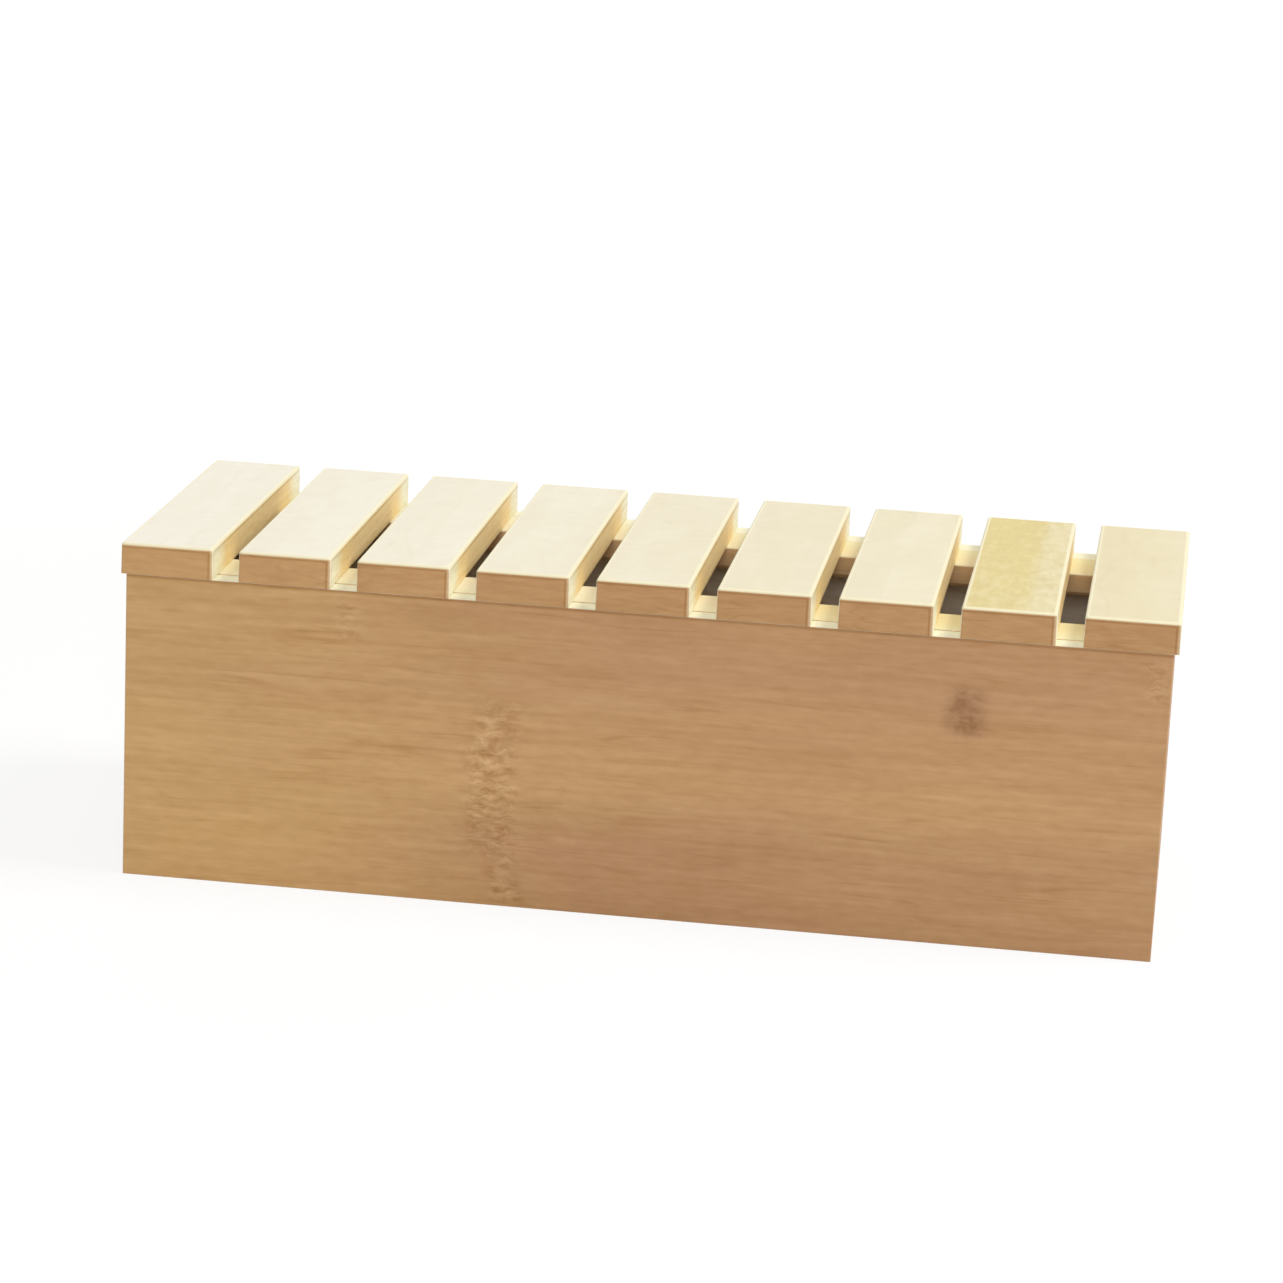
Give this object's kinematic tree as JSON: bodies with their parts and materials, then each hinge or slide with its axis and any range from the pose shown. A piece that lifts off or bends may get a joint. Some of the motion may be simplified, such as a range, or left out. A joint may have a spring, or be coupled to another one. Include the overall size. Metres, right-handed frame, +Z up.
{
  "type": "slatted lid box",
  "caption": "Long rectangular bamboo box with a lift-off lid of spaced flat slats on two battens that drop inside its walls.",
  "frame": {"origin": "centre of the underside, on the surface that the box stands on", "axes": "+X along the box's length to the right seen from the front, +Y to the rear, +Z up"},
  "size_m": [0.395, 0.15, 0.13],
  "materials": {
    "bamboo_case": "satin lacquer on pressed bamboo, grain along the box",
    "bamboo_lid": "satin lacquer on pale bamboo, grain along each slat",
    "bamboo_batten": "sanded bamboo, grain along the box",
    "bamboo_floor": "sanded bamboo board",
    "screw_steel": "zinc-plated steel"
  },
  "bodies": {
    "case": {"front_panel": "bamboo_case", "rear_panel": "bamboo_case", "left_end_panel": "bamboo_case", "right_end_panel": "bamboo_case", "floor_panel": "bamboo_floor"},
    "lid": {"lid_slat_1": "bamboo_lid", "lid_slat_2": "bamboo_lid", "lid_slat_3": "bamboo_lid", "lid_slat_4": "bamboo_lid", "lid_slat_5": "bamboo_lid", "lid_slat_6": "bamboo_lid", "lid_slat_7": "bamboo_lid", "lid_slat_8": "bamboo_lid", "lid_slat_9": "bamboo_lid", "front_lid_batten": "bamboo_batten", "rear_lid_batten": "bamboo_batten", "front_slat_screws": "screw_steel", "rear_slat_screws": "screw_steel"}
  },
  "joints": [
    {"name": "lid_lift", "type": "slide", "parent": "case", "child": "lid", "axis": [0, 0, 1], "range_m": [0, 0.15]}
  ]
}
